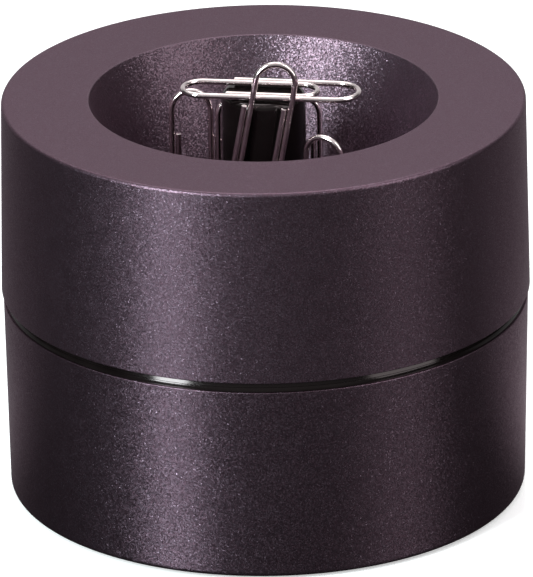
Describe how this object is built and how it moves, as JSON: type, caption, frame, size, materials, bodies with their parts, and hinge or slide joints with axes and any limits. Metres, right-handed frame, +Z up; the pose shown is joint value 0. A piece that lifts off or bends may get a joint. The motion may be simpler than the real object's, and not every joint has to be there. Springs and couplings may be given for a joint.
{
  "type": "magnetic paper clip holder",
  "caption": "Round two-part desk holder for paper clips, with a funnel bowl and a magnet post that holds the clips upright for picking up.",
  "frame": {"origin": "centre of the foot pad's flat underside, where the holder stands on a desk", "axes": "+Z up along the magnet post, -Y towards the viewer of the picture, +X to the viewer's right"},
  "size_m": [0.073, 0.073, 0.0643],
  "materials": {
    "sparkle_plastic": "satin",
    "gloss_plastic": "gloss",
    "inner_plastic": "matte",
    "magnet": "matte",
    "base_steel": "satin",
    "screw_steel": "satin",
    "clip_steel": "polished",
    "pad_rubber": "matte"
  },
  "bodies": {
    "holder": {"upper_casing": "sparkle_plastic", "gap_ring": "gloss_plastic", "lower_casing": "sparkle_plastic", "post_sleeve": "gloss_plastic", "rod_magnet": "magnet", "magnet_retainer": "inner_plastic", "retainer_screws": "screw_steel", "base_weight": "base_steel", "weight_screws": "screw_steel", "casing_screws": "screw_steel", "foot_pad": "pad_rubber"},
    "top_clip": {"clip_across_top": "clip_steel"},
    "front_clip": {"clip_front": "clip_steel"},
    "left_clip": {"clip_left": "clip_steel"},
    "back_left_clip": {"clip_back_left": "clip_steel"},
    "back_right_clip": {"clip_back_right": "clip_steel"},
    "leaning_clip": {"clip_leaning": "clip_steel"}
  },
  "joints": [
    {"name": "top_clip_lift", "type": "slide", "parent": "holder", "child": "top_clip", "axis": [0, 0, 1], "range_m": [0, 0.04]},
    {"name": "front_clip_lift", "type": "slide", "parent": "holder", "child": "front_clip", "axis": [0, 0, 1], "range_m": [0, 0.04]},
    {"name": "left_clip_lift", "type": "slide", "parent": "holder", "child": "left_clip", "axis": [0, 0, 1], "range_m": [0, 0.04]},
    {"name": "back_left_clip_lift", "type": "slide", "parent": "holder", "child": "back_left_clip", "axis": [0, 0, 1], "range_m": [0, 0.04]},
    {"name": "back_right_clip_lift", "type": "slide", "parent": "holder", "child": "back_right_clip", "axis": [0, 0, 1], "range_m": [0, 0.04]},
    {"name": "leaning_clip_lift", "type": "slide", "parent": "holder", "child": "leaning_clip", "axis": [0.0576, -0.0654, 0.9962], "range_m": [0, 0.04]}
  ]
}
